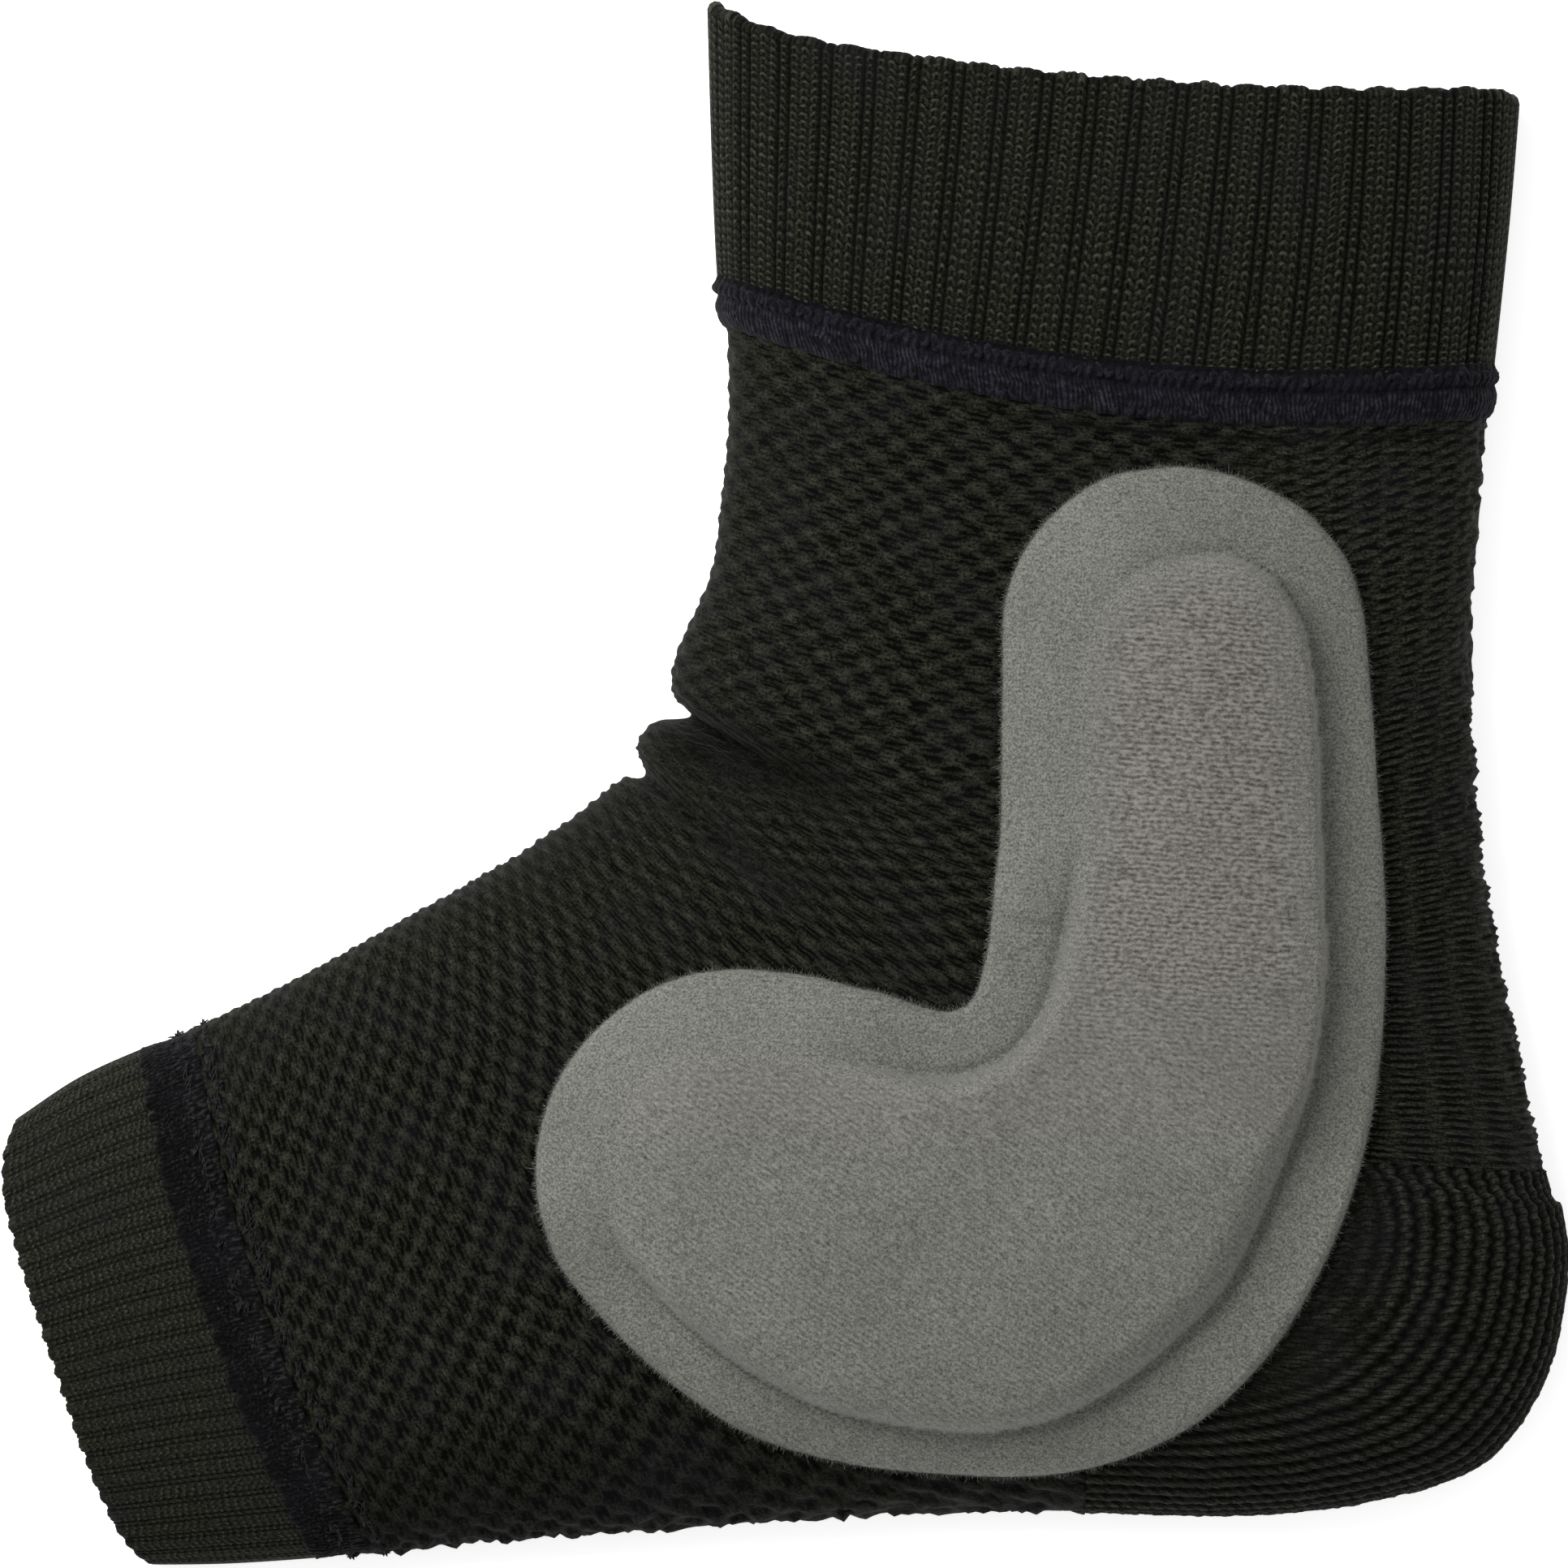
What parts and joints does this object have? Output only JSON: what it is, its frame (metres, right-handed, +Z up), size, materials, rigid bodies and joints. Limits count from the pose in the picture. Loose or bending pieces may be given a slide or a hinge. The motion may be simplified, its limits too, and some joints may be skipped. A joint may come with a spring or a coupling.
{
  "type": "ankle brace",
  "caption": "Pull-on knitted ankle brace lying on its side: ribbed leg and toe cuffs, waffle-knit sleeve, ribbed heel pocket and a raised velour pad round the ankle bone.",
  "frame": {"origin": "centre of the outline in plan, on the surface that the brace lies on", "axes": "+X towards the heel, +Y up the leg towards the cuff, +Z up from the surface, through the pad"},
  "size_m": [0.2116, 0.2116, 0.0355],
  "materials": {
    "cuff_knit": "matt ribbed knit",
    "seam_thread": "matt overlock thread",
    "sleeve_knit": "matt waffle knit",
    "heel_knit": "matt ribbed knit",
    "toe_thread": "matt fuzzy thread",
    "toe_knit": "matt ribbed knit",
    "pad_velour": "short grey velour"
  },
  "bodies": {
    "root": {"cuff": "cuff_knit", "seam_band": "seam_thread", "sleeve": "sleeve_knit", "heel_cup": "heel_knit", "toe_band": "toe_thread", "toe_cuff": "toe_knit", "ankle_pad": "pad_velour"}
  },
  "joints": []
}
